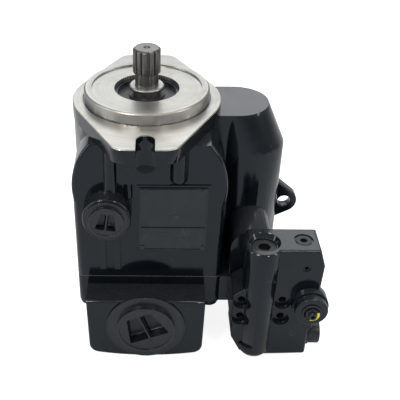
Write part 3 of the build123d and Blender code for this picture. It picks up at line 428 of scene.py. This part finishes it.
# ---------------------------------------------------------------- finishes
def painted_casting(machined_above=None):
    """Gloss black paint over a sand casting, bare and turned above a height if one is given."""
    casting = settings("casting")
    name = "painted casting" if machined_above is None else "painted casting, faced"
    material, tree, shader, coords = new_material(name)
    grain = use_group(tree, "Cast grain", (-700, -400), vector=coords,
                      grain_size=casting.grain, unevenness=0.8).outputs["Height"]
    scuffs = use_group(tree, "Scuffs", (-700, 100), vector=coords, spot_size=3.2 * MM,
                       amount=0.25).outputs["Mask"]
    dust_and_sheen = use_group(tree, "Settled dust and top sheen", (-700, 350), vector=coords,
                     amount=0.14).outputs["Mask"]
    paint = tuple(casting.paint)
    tone = noise(tree, (-700, 600), coords, 34.0, 4.0, 0.6)
    colour = blend_colours(tree, (-300, 500), spread(tree, (-500, 600), tone, 0.3, 0.7),
                           paint, tuple(1.7 * c + 0.001 for c in paint))
    colour = blend_colours(tree, (-100, 400), calc(tree, (-300, 100), "MULTIPLY", scuffs, 0.35),
                           colour, (0.075, 0.078, 0.082))
    # settled dust on faces turned up, partly a painted sheen where top faces catch the overhead
    # light
    colour = blend_colours(tree, (100, 400), dust_and_sheen, colour, (0.16, 0.165, 0.17))
    rough = calc(tree, (-100, 0), "MULTIPLY_ADD", scuffs, 0.2,
                 spread(tree, (-300, -100), tone, 0.3, 0.7, 0.07, 0.16))
    rough = calc(tree, (100, 0), "MULTIPLY_ADD", dust_and_sheen, 0.35, rough)
    height = grain
    if machined_above is not None:
        parts = add_node(tree, "ShaderNodeSeparateXYZ", (-900, -700))
        feed(tree, parts.inputs[0], coords)
        radius = calc(tree, (-700, -700), "SQRT", calc(
            tree, (-800, -800), "ADD",
            calc(tree, (-900, -850), "MULTIPLY", parts.outputs["X"], parts.outputs["X"]),
            calc(tree, (-900, -950), "MULTIPLY", parts.outputs["Y"], parts.outputs["Y"])))
        marks = use_group(tree, "Turning marks", (-500, -700), distance=radius,
                          pitch=0.35 * MM, vector=coords)
        bare = spread(tree, (-500, -950), parts.outputs["Z"], machined_above,
                      machined_above + 0.05 * MM)
        # inside the seal bore the face keeps the dark paint instead of bare metal
        inside = spread(tree, (-500, -1150), radius, SEAL_BORE_R - 0.4 * MM,
                        SEAL_BORE_R + 0.2 * MM)
        bare = calc(tree, (-300, -950), "MULTIPLY", bare, inside)
        metal = tuple(casting.machined)
        metal_colour = blend_colours(tree, (-100, -700), marks.outputs["Streak"],
                                     tuple(0.9 * c for c in metal), metal)
        stain = spread(tree, (-300, -1300), noise(tree, (-500, -1300), coords, 30.0, 5.0, 0.7),
                       0.5, 0.75, 0.0, 0.55)
        metal_colour = blend_colours(tree, (100, -700), stain, metal_colour,
                                     (0.55 * metal[0], 0.50 * metal[1], 0.42 * metal[2]))
        colour = blend_colours(tree, (300, 400), bare, colour, metal_colour)
        metal_rough = spread(tree, (-100, -900), marks.outputs["Streak"], 0.0, 1.0, 0.38, 0.31)
        rough_mix = add_node(tree, "ShaderNodeMix", (300, 0), data_type="FLOAT")
        feed(tree, rough_mix.inputs[0], bare)
        feed(tree, rough_mix.inputs[2], rough)
        feed(tree, rough_mix.inputs[3], metal_rough)
        rough = rough_mix.outputs[0]
        feed(tree, shader.inputs["Metallic"], bare)
        painted = calc(tree, (100, -300), "SUBTRACT", 1.0, bare)
        height = calc(tree, (250, -500), "ADD", calc(tree, (100, -500), "MULTIPLY", grain, painted),
                      calc(tree, (100, -600), "MULTIPLY",
                           calc(tree, (0, -650), "MULTIPLY", marks.outputs["Height"], 0.06), bare))
    feed(tree, shader.inputs["Base Color"], colour)
    feed(tree, shader.inputs["Roughness"], rough)
    shader.inputs["Specular IOR Level"].default_value = 0.42
    shader.inputs["Specular Tint"].default_value = (0.80, 0.90, 1.0, 1.0)
    add_bump(tree, shader, height, 0.20 * MM, 0.5)
    return material


def turned_steel(name, colour, rough, pitch=0.2 * MM, darker_above=None, radial=False):
    """Ground or turned bare steel with its tool marks running round the Z axis."""
    material, tree, shader, coords = new_material(name)
    parts = add_node(tree, "ShaderNodeSeparateXYZ", (-900, 0))
    feed(tree, parts.inputs[0], coords)
    distance = parts.outputs["Z"]
    if radial:
        flat = add_node(tree, "ShaderNodeCombineXYZ", (-900, 200))
        feed(tree, flat.inputs[0], parts.outputs["X"])
        feed(tree, flat.inputs[1], parts.outputs["Y"])
        length = add_node(tree, "ShaderNodeVectorMath", (-700, 200), operation="LENGTH")
        feed(tree, length.inputs[0], flat.outputs[0])
        distance = length.outputs["Value"]
    marks = use_group(tree, "Turning marks", (-500, 0), distance=distance, pitch=pitch,
                      vector=coords)
    smudge = spread(tree, (-500, 350), noise(tree, (-700, 350), coords, 95.0, 5.0, 0.65),
                    0.35, 0.7)
    shade = blend_colours(tree, (-100, 200), marks.outputs["Streak"],
                          tuple(0.78 * c for c in colour), colour)
    shade = blend_colours(tree, (100, 200), calc(tree, (-100, 400), "MULTIPLY", smudge, 0.35),
                          shade, tuple(0.55 * c for c in colour))
    if darker_above is not None:
        high = spread(tree, (100, 500), parts.outputs["Z"], darker_above, darker_above + MM)
        shade = blend_colours(tree, (300, 300), calc(tree, (250, 500), "MULTIPLY", high, 0.5),
                              shade, tuple(0.35 * c for c in colour))
    feed(tree, shader.inputs["Base Color"], shade)
    feed(tree, shader.inputs["Roughness"],
         spread(tree, (300, -100), smudge, 0.0, 1.0, rough, rough + 0.12))
    shader.inputs["Metallic"].default_value = 1.0
    add_bump(tree, shader, marks.outputs["Height"], 0.02 * MM, 0.6)
    return material


def worked_surface(name, colour, second, rough, metallic=0.0, spot=2 * MM, coat=0.0,
                   bump=0.05 * MM, wear=0.3, worn=None):
    """Surface of two close tones with grain and rubbed spots, for plastic, oxide and bronze."""
    material, tree, shader, coords = new_material(name)
    grain = use_group(tree, "Cast grain", (-700, -300), vector=coords, grain_size=spot / 4,
                      unevenness=0.4).outputs["Height"]
    scuffs = use_group(tree, "Scuffs", (-700, 0), vector=coords, spot_size=spot,
                       amount=wear).outputs["Mask"]
    tone = spread(tree, (-500, 300), noise(tree, (-700, 300), coords, 0.22 / spot, 4.0, 0.6),
                  0.32, 0.68)
    shade = blend_colours(tree, (-200, 300), tone, colour, second)
    shade = blend_colours(tree, (0, 300), calc(tree, (-200, 0), "MULTIPLY", scuffs, 0.5), shade,
                          worn or tuple(min(1.0, 2.2 * c + 0.02) for c in second))
    feed(tree, shader.inputs["Base Color"], shade)
    feed(tree, shader.inputs["Roughness"],
         calc(tree, (200, 0), "MULTIPLY_ADD", scuffs, 0.15,
              spread(tree, (0, 0), tone, 0.0, 1.0, rough - 0.04, rough + 0.06)))
    shader.inputs["Metallic"].default_value = metallic
    shader.inputs["Specular Tint"].default_value = (0.84, 0.92, 1.0, 1.0)
    shader.inputs["Coat Weight"].default_value = coat
    shader.inputs["Coat Roughness"].default_value = 0.15
    add_bump(tree, shader, grain, bump, 0.6)
    return material


FINISHES = {
    "painted_casting": lambda: painted_casting(),
    "faced_casting": lambda: painted_casting(machined_above=-0.8 * MM),
    "fibre_gasket": lambda: worked_surface(
        "fibre gasket", (0.06, 0.062, 0.06), (0.10, 0.10, 0.095), 0.8, spot=1.2 * MM),
    "black_oxide_steel": lambda: worked_surface(
        "black oxide steel", (0.020, 0.021, 0.023), (0.035, 0.036, 0.038), 0.34, 0.55,
        spot=1.5 * MM, bump=0.02 * MM, worn=(0.20, 0.20, 0.20)),
    "screw_steel": lambda: worked_surface(
        "screw steel", (0.055, 0.057, 0.062), (0.09, 0.092, 0.097), 0.28, 0.8,
        spot=1.2 * MM, bump=0.01 * MM, worn=(0.30, 0.30, 0.30)),
    "ground_steel": lambda: turned_steel("ground steel", (0.52, 0.515, 0.50), 0.24),
    "shaft_steel": lambda: turned_steel(
        "shaft steel", (0.27, 0.268, 0.26), 0.26, darker_above=21 * MM),
    "bright_collar": lambda: turned_steel(
        "bright collar", (0.40, 0.395, 0.38), 0.3, radial=True),
    "seal_rubber": lambda: worked_surface(
        "seal rubber", (0.010, 0.010, 0.012), (0.02, 0.02, 0.022), 0.42, spot=1.5 * MM),
    "spring_steel": lambda: worked_surface(
        "spring steel", (0.045, 0.046, 0.05), (0.075, 0.077, 0.08), 0.33, 0.8,
        spot=1.2 * MM, bump=0.01 * MM, worn=(0.3, 0.3, 0.3)),
    "bearing_steel": lambda: turned_steel("bearing steel", (0.62, 0.61, 0.59), 0.16, 0.12 * MM),
    "bronze": lambda: worked_surface(
        "bronze", (0.42, 0.26, 0.10), (0.55, 0.36, 0.15), 0.34, 1.0, spot=2.5 * MM,
        bump=0.01 * MM, worn=(0.70, 0.50, 0.24)),
    "seal_plastic": lambda: worked_surface(
        "seal plastic", (0.05, 0.16, 0.12), (0.07, 0.20, 0.15), 0.5, spot=1.5 * MM),
    "shipping_plastic": lambda: worked_surface(
        "shipping plastic", tuple(settings("plug").plastic),
        tuple(1.6 * c for c in settings("plug").plastic), 0.28, spot=2.4 * MM, coat=0.08,
        bump=0.03 * MM, wear=0.35),
    "plate_metal": lambda: worked_surface(
        "plate metal", tuple(settings("plate").ink), tuple(1.7 * c for c in settings("plate").ink),
        0.22, spot=2.6 * MM, bump=0.015 * MM, wear=0.45),
    "setting_paint": lambda: worked_surface(
        "setting paint", tuple(settings("screw").mark),
        tuple(0.8 * c for c in settings("screw").mark), 0.4, spot=1.5 * MM, coat=0.2),
}


def finish_of(name):
    label = "finish:" + name
    for material in bpy.data.materials:
        if material.get("finish") == label:
            return material
    material = FINISHES[name]()
    material["finish"] = label
    return material


def paint_piece(obj, finish):
    obj.data.materials.clear()
    obj.data.materials.append(finish_of(finish))


def dress_node(node, finish):
    """Gives a CAD node its finish through its material slots."""
    obj = CAD_NODES[node]
    for index in range(len(obj.material_slots)):
        obj.material_slots[index].material = finish_of(finish)


def soften_node(node, width, angle=34, segments=2):
    """Rounds a CAD node's sharp edges with live modifiers."""
    obj = CAD_NODES[node]
    weld = obj.modifiers.new("Weld", "WELD")
    weld.merge_threshold = 0.002 * MM
    flat = obj.modifiers.new("Flat faces", "DECIMATE")
    flat.decimate_type = "DISSOLVE"
    flat.angle_limit = math.radians(0.4)
    bevel = obj.modifiers.new("Rounded edges", "BEVEL")
    bevel.width = width
    bevel.segments = segments
    bevel.limit_method = "ANGLE"
    bevel.angle_limit = math.radians(angle)
    bevel.use_clamp_overlap = True
    bevel.harden_normals = True


# ---------------------------------------------------------------- operators
class PUMP_OT_castings(bpy.types.Operator):
    """Paint the casing, end cap and control block and round their edges"""
    bl_idname = "pump.castings"
    bl_label = "Castings"

    def execute(self, context):
        casting = settings("casting")
        dress_node("housing", "faced_casting")
        dress_node("end_cap", "painted_casting")
        dress_node("control_block", "painted_casting")
        for node in ("housing", "end_cap", "control_block"):
            soften_node(node, casting.edge_round)
        return {"FINISHED"}


NODE_FINISHES = {
    "fibre_gasket": ("end_cap_gasket", "control_gasket"),
    "black_oxide_steel": ("end_cap_bolts", "load_sensing_adjuster", "limiter_sleeve",
                          "limiter_lock_nut", "limiter_screw", "large_port_plug",
                          "small_port_plug", "side_plug", "gauge_plug", "rear_drain_plug"),
    "shaft_steel": ("drive_shaft",),
    "bright_collar": ("shaft_slinger",),
    "seal_rubber": ("shaft_seal",),
    "spring_steel": ("seal_retaining_ring", "hold_down_spring", "bias_spring",
                     "load_sensing_spring", "limiter_spring"),
    "bearing_steel": ("front_bearing_cup", "front_bearing_cone", "front_bearing_rollers",
                      "rear_bearing_cup", "rear_bearing_cone", "rear_bearing_rollers",
                      "valve_plate_pin"),
    "ground_steel": ("cylinder_block", "pistons", "retainer_plate", "ball_guide", "swashplate",
                     "servo_piston", "bias_piston", "load_sensing_spool", "limiter_poppet"),
    "bronze": ("slippers", "cradle_bearings", "valve_plate"),
    "seal_plastic": ("servo_piston_ring",),
    "shipping_plastic": ("outlet_plug",),
    "plate_metal": ("plate_rivets",),
}
SOFTENED = {
    "limiter_sleeve": 0.4 * MM, "limiter_lock_nut": 0.3 * MM, "limiter_screw": 0.2 * MM,
    "large_port_plug": 0.4 * MM, "small_port_plug": 0.4 * MM, "side_plug": 0.3 * MM,
    "gauge_plug": 0.2 * MM, "rear_drain_plug": 0.5 * MM, "end_cap_bolts": 0.4 * MM,
    "outlet_plug": 0.5 * MM, "plate_rivets": 0.3 * MM, "shaft_slinger": 0.15 * MM,
    "seal_retaining_ring": 0.15 * MM, "shaft_seal": 0.3 * MM, "drive_shaft": 0.15 * MM,
}


class PUMP_OT_bare_parts(bpy.types.Operator):
    """Finish the shaft, seals, bearings, rotating group and the small steel parts"""
    bl_idname = "pump.bare_parts"
    bl_label = "Steel, bronze and rubber parts"

    def execute(self, context):
        for finish, nodes in NODE_FINISHES.items():
            for node in nodes:
                dress_node(node, finish)
        for node, width in SOFTENED.items():
            soften_node(node, width)
        return {"FINISHED"}


Y_AXIS, Z_AXIS = 1, 2
# piece, CAD node it stands for, wire radius, turns, axis, still end, moving end,
# and the bodies of those two ends
SPRINGS = (
    ("hold_down_coil", "hold_down_spring", 1.3 * MM, 4, Z_AXIS, -108.9 * MM, -83.1 * MM,
     "rotating_group", "piston_set"),
    ("bias_coil", "bias_spring", 1.2 * MM, 6, Z_AXIS, -18.1 * MM, -47.9 * MM,
     "casing", "bias"),
    ("load_sensing_coil", "load_sensing_spring", 0.8 * MM, 5, Z_AXIS, -185.9 * MM, -168.1 * MM,
     "casing", "spool"),
    ("limiter_coil", "limiter_spring", 0.55 * MM, 4, Y_AXIS, -88.9 * MM, -79.1 * MM,
     "casing", "poppet"),
)


def wind_coil(name, mean_r, wire_r, turns, height):
    """Open-wound spring standing on the origin along +Z, its wire closed at both ends."""
    clear_selection()
    bpy.ops.mesh.primitive_circle_add(
        vertices=12, radius=wire_r, fill_type="NOTHING", location=(mean_r, 0, wire_r),
        rotation=(math.pi / 2, 0, 0))
    coil = settle(bpy.context.object, name)
    modifier = coil.modifiers.new("Wind", "SCREW")
    modifier.screw_offset = (height - 2 * wire_r) / turns
    modifier.iterations = turns
    modifier.steps = modifier.render_steps = 40
    bpy.ops.object.modifier_apply(modifier=modifier.name)
    bpy.ops.object.mode_set(mode="EDIT")
    bpy.ops.mesh.select_all(action="SELECT")
    bpy.ops.mesh.fill_holes(sides=0)
    bpy.ops.mesh.select_all(action="SELECT")
    bpy.ops.mesh.normals_make_consistent(inside=False)
    bpy.ops.object.mode_set(mode="OBJECT")
    bpy.ops.object.shade_smooth_by_angle(angle=math.radians(60))
    return coil


class PUMP_OT_springs(bpy.types.Operator):
    """Wound springs put in place of the CAD springs"""
    bl_idname = "pump.springs"
    bl_label = "Springs"

    def execute(self, context):
        for name, node, wire, turns, axis, still, moving, still_body, moving_body in SPRINGS:
            low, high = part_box(node)
            foot = (Vector(low) + Vector(high)) / 2
            head = foot.copy()
            foot[axis], head[axis] = still, moving
            mean_r = (high[0] - low[0]) / 2 - wire
            coil = wind_coil(name, mean_r, wire, turns, (head - foot).length)
            turn = Vector((0, 0, 1)).rotation_difference(head - foot)
            coil.rotation_euler = turn.to_euler()
            coil.location = foot
            settle(coil, name)
            paint_piece(coil, "spring_steel")
            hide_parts(node)
            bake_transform(coil)
        return {"FINISHED"}


def grip_well(name, low, width_low, width_high, height, depth, side, bar, turn, centre):
    """Cutter for one half of a plug's sunk grip, on one side of its bar."""
    x, y, z = centre
    half = width_low / 2
    cutter = add_block(name, (x - half, y - 2 * MM, z + low),
                       (x + half, y + depth, z + low + height))
    pick_faces(cutter, lambda at, normal: normal.z > 0.9)
    bpy.ops.transform.resize(value=(width_high / width_low, 1, 1),
                             center_override=(x, y, z + low + height))
    bpy.ops.object.mode_set(mode="OBJECT")
    pick_faces(cutter, lambda at, normal: True)
    bpy.ops.mesh.bisect(plane_co=(x + side * bar / 2, y, z), plane_no=(side, 0, 0),
                        use_fill=True, clear_inner=True)
    bpy.ops.object.mode_set(mode="OBJECT")
    # the floor slopes, so that the well is deepest at its top
    pick_faces(cutter, lambda at, normal: normal.z < -0.9)
    bpy.ops.transform.resize(value=(1, 0.85, 1), center_override=(x, y - 2 * MM, z + low))
    bpy.ops.object.mode_set(mode="OBJECT")
    round_over(cutter, 1.4 * MM, 3, 50)
    make_active(cutter)
    bpy.ops.object.mode_set(mode="EDIT")
    bpy.ops.mesh.select_all(action="SELECT")
    bpy.ops.transform.rotate(value=turn, orient_axis="Y", center_override=(x, y, z))
    bpy.ops.object.mode_set(mode="OBJECT")
    return cutter


def shipping_plug(name, node, face_y, flange, stem_radius, steps, well, turn):
    """Moulded plug: a thin flange, a stepped drum in front, a stem behind and a sunk grip.

    Each step is how far the front face is drawn in and then pushed along Y."""
    plug = settings("plug")
    low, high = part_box(node)
    x, z = (low[0] + high[0]) / 2, (low[2] + high[2]) / 2
    radius = (high[0] - low[0]) / 2
    body = add_round(name, radius, face_y - flange, face_y, x, z, plug.sides)
    pick_faces(body, lambda at, normal: normal.y > 0.9)
    bpy.ops.mesh.inset(thickness=radius - stem_radius)
    push((0, high[1] - face_y, 0))
    bpy.ops.object.mode_set(mode="OBJECT")
    pick_faces(body, lambda at, normal: normal.y < -0.9)
    for width, step in steps:
        bpy.ops.mesh.inset(thickness=width)
        push((0, step, 0))
    bpy.ops.object.mode_set(mode="OBJECT")
    round_over(body, 0.5 * MM, 4)
    front = face_y - flange + sum(step for width, step in steps)
    for side in (-1, 1):
        cut_away(body, grip_well(
            name + "_well", **well, side=side, bar=plug.bar, turn=turn, centre=(x, front, z)))
    # raised mould line from the grip's bar to the drum's edge
    reach = radius - sum(width for width, step in steps)
    line = add_block(name + "_line", (x - 0.35 * MM, front - 0.4 * MM, z - reach - 0.5 * MM),
                     (x + 0.35 * MM, front + 0.5 * MM, z + well["low"] - 0.2 * MM))
    make_active(line)
    bpy.ops.object.mode_set(mode="EDIT")
    bpy.ops.mesh.select_all(action="SELECT")
    bpy.ops.transform.rotate(value=turn, orient_axis="Y", center_override=(x, front, z))
    bpy.ops.object.mode_set(mode="OBJECT")
    round_over(line, 0.15 * MM, 2)
    join(body, line)
    make_active(body)
    bpy.ops.object.shade_smooth_by_angle(angle=math.radians(35))
    paint_piece(body, "shipping_plastic")
    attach(body, "casing")
    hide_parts(node)
    return body


class PUMP_OT_drain_cover(bpy.types.Operator):
    """Moulded plug in the case drain, with its two grip wells"""
    bl_idname = "pump.drain_cover"
    bl_label = "Drain port plug"

    def execute(self, context):
        shipping_plug(
            "drain_cover", "drain_plug", face_y=-74.05 * MM, flange=1.75 * MM,
            stem_radius=13.9 * MM,
            steps=((0.9 * MM, 0.35 * MM), (3.1 * MM, -2.5 * MM), (1.6 * MM, 0.8 * MM)),
            well={"low": -7.5 * MM, "width_low": 17 * MM, "width_high": 10.5 * MM,
                  "height": 15.5 * MM, "depth": 9 * MM},
            turn=math.radians(-8))
        return {"FINISHED"}


class PUMP_OT_inlet_cover(bpy.types.Operator):
    """Large moulded plug in the inlet port, with its two grip wells"""
    bl_idname = "pump.inlet_cover"
    bl_label = "Inlet port plug"

    def execute(self, context):
        shipping_plug(
            "inlet_cover", "inlet_plug", face_y=-84.05 * MM, flange=1.75 * MM,
            stem_radius=21.9 * MM,
            steps=((0.9 * MM, 0.3 * MM), (7.9 * MM, -4.5 * MM), (2.4 * MM, 1.1 * MM)),
            well={"low": -10 * MM, "width_low": 36 * MM, "width_high": 22 * MM,
                  "height": 26 * MM, "depth": 12 * MM},
            turn=math.radians(22))
        return {"FINISHED"}


class PUMP_OT_rating_plate(bpy.types.Operator):
    """Rating plate with a raised border, a dividing line and blank fields"""
    bl_idname = "pump.rating_plate"
    bl_label = "Rating plate"

    def execute(self, context):
        plate = settings("plate")
        low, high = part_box("rating_plate")
        front = low[1]
        body = add_block("blank_rating_plate", low, high)
        pick_faces(body, lambda at, normal: normal.y < -0.9)
        bpy.ops.mesh.inset(thickness=0.5 * MM)
        bpy.ops.mesh.inset(thickness=0.15 * MM)
        push((0, -plate.raised, 0))
        bpy.ops.mesh.inset(thickness=plate.border)
        push((0, plate.raised + 0.1 * MM, 0))
        bpy.ops.object.mode_set(mode="OBJECT")
        round_over(body, 0.12 * MM, 2)
        # dividing line, and blank raised fields where a plate carries its data
        width = high[0] - low[0]
        divide_z = low[2] + 0.375 * (high[2] - low[2])
        lines = [add_block("plate_line",
                           (low[0] + 2 * MM, front - plate.raised, divide_z - 0.45 * MM),
                           (high[0] - 2 * MM, front + 0.3 * MM, divide_z + 0.45 * MM))]
        for row, (start, end) in enumerate(((0.10, 0.44), (0.52, 0.90), (0.10, 0.60))):
            row_z = divide_z - (5.5 + 5.6 * (row + row // 2)) * MM
            lines.append(add_block(
                "plate_field", (low[0] + start * width, front - 0.06 * MM, row_z - 1.3 * MM),
                (low[0] + end * width, front + 0.3 * MM, row_z + 1.3 * MM)))
        for line in lines:
            round_over(line, 0.1 * MM, 2)
        join(body, *lines)
        paint_piece(body, "plate_metal")
        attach(body, "casing")
        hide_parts("rating_plate")
        return {"FINISHED"}


class PUMP_OT_cap_screws(bpy.types.Operator):
    """Four knurled cap screws that hold the control block"""
    bl_idname = "pump.cap_screws"
    bl_label = "Control block screws"

    def execute(self, context):
        screw = settings("screw")
        low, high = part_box("control_screws")
        head_r, head_y = 5.0 * MM, low[1] + 6.0 * MM
        neck, chamfer, groove = 2.0 * MM, 0.45 * MM, 0.22 * MM
        socket_r, socket_depth = 2.9 * MM, 3.4 * MM
        xs, zs = (low[0] + head_r, high[0] - head_r), (low[2] + head_r, high[2] - head_r)
        first = add_round("cap_screws", head_r, low[1], head_y, xs[0], zs[0], 2 * screw.knurls)
        # knurling: every other facet of the head's side is pressed in
        pick_faces(first, lambda at, normal: abs(normal.y) < 0.1 and round(
            (math.atan2(at.z - zs[0], at.x - xs[0]) / (2 * math.pi)) * 2 * screw.knurls - 0.5) % 2)
        bpy.ops.mesh.inset(thickness=0.05 * MM, depth=-groove, use_individual=True)
        bpy.ops.object.mode_set(mode="OBJECT")
        pick_faces(first, lambda at, normal: normal.y > 0.9)
        bpy.ops.mesh.inset(thickness=neck)
        push((0, high[1] - head_y, 0))
        bpy.ops.object.mode_set(mode="OBJECT")
        pick_faces(first, lambda at, normal: normal.y < -0.9)
        bpy.ops.mesh.inset(thickness=chamfer)
        bpy.ops.object.mode_set(mode="OBJECT")
        clear_selection()
        bpy.ops.mesh.primitive_cylinder_add(
            vertices=6, radius=socket_r, depth=2 * socket_depth, location=(xs[0], low[1], zs[0]),
            rotation=(math.pi / 2, 0, 0))
        cut_away(first, settle(bpy.context.object, "hex_cutter"))
        make_active(first)
        bpy.ops.object.shade_smooth_by_angle(angle=math.radians(28))
        copies = [turned_copy(first, "cap_screw_copy", (x - xs[0], 0, z - zs[0]))
                  for x in xs for z in zs if (x, z) != (xs[0], zs[0])]
        join(first, *copies)
        paint_piece(first, "screw_steel")
        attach(first, "casing")
        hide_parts("control_screws")
        return {"FINISHED"}


class PUMP_OT_setting_mark(bpy.types.Operator):
    """Dab of paint across the limiter's lock nut"""
    bl_idname = "pump.setting_mark"
    bl_label = "Setting mark"

    def execute(self, context):
        low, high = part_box("limiter_lock_nut")
        x, z = (low[0] + high[0]) / 2, (low[2] + high[2]) / 2
        clear_selection()
        bpy.ops.mesh.primitive_torus_add(
            major_segments=40, minor_segments=12, major_radius=4.9 * MM, minor_radius=1.15 * MM,
            location=(x, low[1] + 0.1 * MM, z), rotation=(math.pi / 2, 0, 0))
        mark = settle(bpy.context.object, "setting_mark")
        for angle in (-105, 25):
            direction = math.radians(angle)
            pick_faces(mark, lambda at, normal: True)
            sign = 1 if angle > 0 else -1
            bpy.ops.mesh.bisect(
                plane_co=(x, low[1], z),
                plane_no=(-sign * math.sin(direction), 0, sign * math.cos(direction)),
                use_fill=True, clear_outer=True)
            bpy.ops.object.mode_set(mode="OBJECT")
        make_active(mark)
        bpy.ops.object.mode_set(mode="EDIT")
        bpy.ops.mesh.select_all(action="SELECT")
        bpy.ops.transform.resize(value=(1, 0.55, 1), center_override=(x, low[1], z))
        bpy.ops.object.mode_set(mode="OBJECT")
        round_over(mark, 0.2 * MM, 2, 50)
        paint_piece(mark, "setting_paint")
        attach(mark, "casing")
        return {"FINISHED"}


class PUMP_OT_stage(bpy.types.Operator):
    """Floor, lights and camera"""
    bl_idname = "pump.stage"
    bl_label = "Stage"

    def execute(self, context):
        stage = settings("stage")
        clear_selection()
        bpy.ops.mesh.primitive_plane_add(size=14, location=(0, 1.5, FLOOR_Z - 0.1 * MM))
        floor = settle(bpy.context.object, "floor")
        material, tree, shader, coords = new_material("studio floor")
        shade = noise(tree, (-500, 200), coords, 2.0, 2.0)
        pale = tuple(stage.floor)
        feed(tree, shader.inputs["Base Color"],
             blend_colours(tree, (0, 200), shade, pale, tuple(0.985 * c for c in pale)))
        shader.inputs["Roughness"].default_value = 0.9
        shader.inputs["Specular IOR Level"].default_value = 0.0
        shader.inputs["Emission Color"].default_value = (1, 1, 1, 1)
        seen = add_node(tree, "ShaderNodeLightPath", (0, -200)).outputs["Is Camera Ray"]
        feed(tree, shader.inputs["Emission Strength"],
             calc(tree, (300, -200), "MULTIPLY", seen, stage.glow))
        floor.data.materials.append(material)

        world = bpy.data.worlds.new("studio room")
        world.use_nodes = True
        world.node_tree.nodes["Background"].inputs["Color"].default_value = (1, 1, 1, 1)
        world.node_tree.nodes["Background"].inputs["Strength"].default_value = stage.sky
        context.scene.world = world
        context.scene.view_settings.view_transform = "Standard"

        middle = Vector((0.02, 0, -0.09))
        for name, place, size, power in (
            ("key", (-0.60, -0.80, 0.95), (0.30, 0.30), stage.key),
            ("spark", (0.55, -0.95, 0.80), (0.12, 0.12), stage.key * 0.35),
            ("overhead", (0.15, 0.15, 1.2), (0.9, 0.5), stage.key),
            ("behind", (0.10, 1.25, 0.85), (1.8, 0.7), stage.key * 1.2),
            ("right", (1.05, -0.30, 0.45), (0.18, 0.9), stage.fill),
            ("left", (-1.1, -0.25, 0.35), (0.18, 0.9), stage.fill),
        ):
            light = bpy.data.lights.new(name, "AREA")
            light.shape = "RECTANGLE"
            light.size, light.size_y = size
            light.energy = power
            lamp = bpy.data.objects.new(name, light)
            lamp.location = place
            lamp.rotation_euler = (middle - Vector(place)).to_track_quat("-Z", "Y").to_euler()
            context.scene.collection.objects.link(lamp)

        camera = bpy.data.cameras.new("camera")
        camera.sensor_width = 36
        camera.lens = 64.96
        camera.shift_x = 0.1298
        camera.shift_y = 0.0592
        camera.clip_start = 0.01
        camera.clip_end = 50
        stand = bpy.data.objects.new("camera", camera)
        stand.location = (0.00823, -0.53927, 0.25647)
        stand.rotation_euler = (math.radians(54.57), 0, math.radians(0.77))
        context.scene.collection.objects.link(stand)
        context.scene.camera = stand
        return {"FINISHED"}


class PUMP_PT_panel(bpy.types.Panel):
    """Lists the pump's groups of parts with their settings and buttons"""
    bl_idname = "PUMP_PT_panel"
    bl_label = "Axial piston pump"
    bl_space_type = "VIEW_3D"
    bl_region_type = "UI"
    bl_category = "Pump"

    def draw(self, context):
        layout = self.layout
        for name, (group, operators) in PARTS.items():
            box = layout.box()
            box.label(text=name)
            group_settings = getattr(context.scene, "pump_" + group)
            for key in group_settings.bl_rna.properties.keys():
                if key not in ("rna_type", "name"):
                    box.prop(group_settings, key)
            for operator in operators:
                box.operator(operator.bl_idname)


PARTS = {
    "Castings": ("casting", (PUMP_OT_castings, PUMP_OT_bare_parts, PUMP_OT_springs)),
    "Plugs": ("plug", (PUMP_OT_drain_cover, PUMP_OT_inlet_cover)),
    "Rating plate": ("plate", (PUMP_OT_rating_plate,)),
    "Screws": ("screw", (PUMP_OT_cap_screws, PUMP_OT_setting_mark)),
    "Stage": ("stage", (PUMP_OT_stage,)),
}
SETTINGS = {
    "casting": PumpCastingSettings,
    "plug": PumpPlugSettings,
    "plate": PumpPlateSettings,
    "screw": PumpScrewSettings,
    "stage": PumpStageSettings,
}


def register():
    for group, kind in SETTINGS.items():
        bpy.utils.register_class(kind)
        setattr(bpy.types.Scene, "pump_" + group, PointerProperty(type=kind))
    for group, operators in PARTS.values():
        for operator in operators:
            bpy.utils.register_class(operator)
    bpy.utils.register_class(PUMP_PT_panel)


def unregister():
    bpy.utils.unregister_class(PUMP_PT_panel)
    for group, operators in PARTS.values():
        for operator in operators:
            bpy.utils.unregister_class(operator)
    for group, kind in SETTINGS.items():
        delattr(bpy.types.Scene, "pump_" + group)
        bpy.utils.unregister_class(kind)


def main():
    register()
    bpy.ops.pump.castings()
    bpy.ops.pump.bare_parts()
    bpy.ops.pump.springs()
    bpy.ops.pump.drain_cover()
    bpy.ops.pump.inlet_cover()
    bpy.ops.pump.rating_plate()
    bpy.ops.pump.cap_screws()
    bpy.ops.pump.setting_mark()
    bpy.ops.pump.stage()
    clear_selection()


if __name__ == "__main__":
    main()
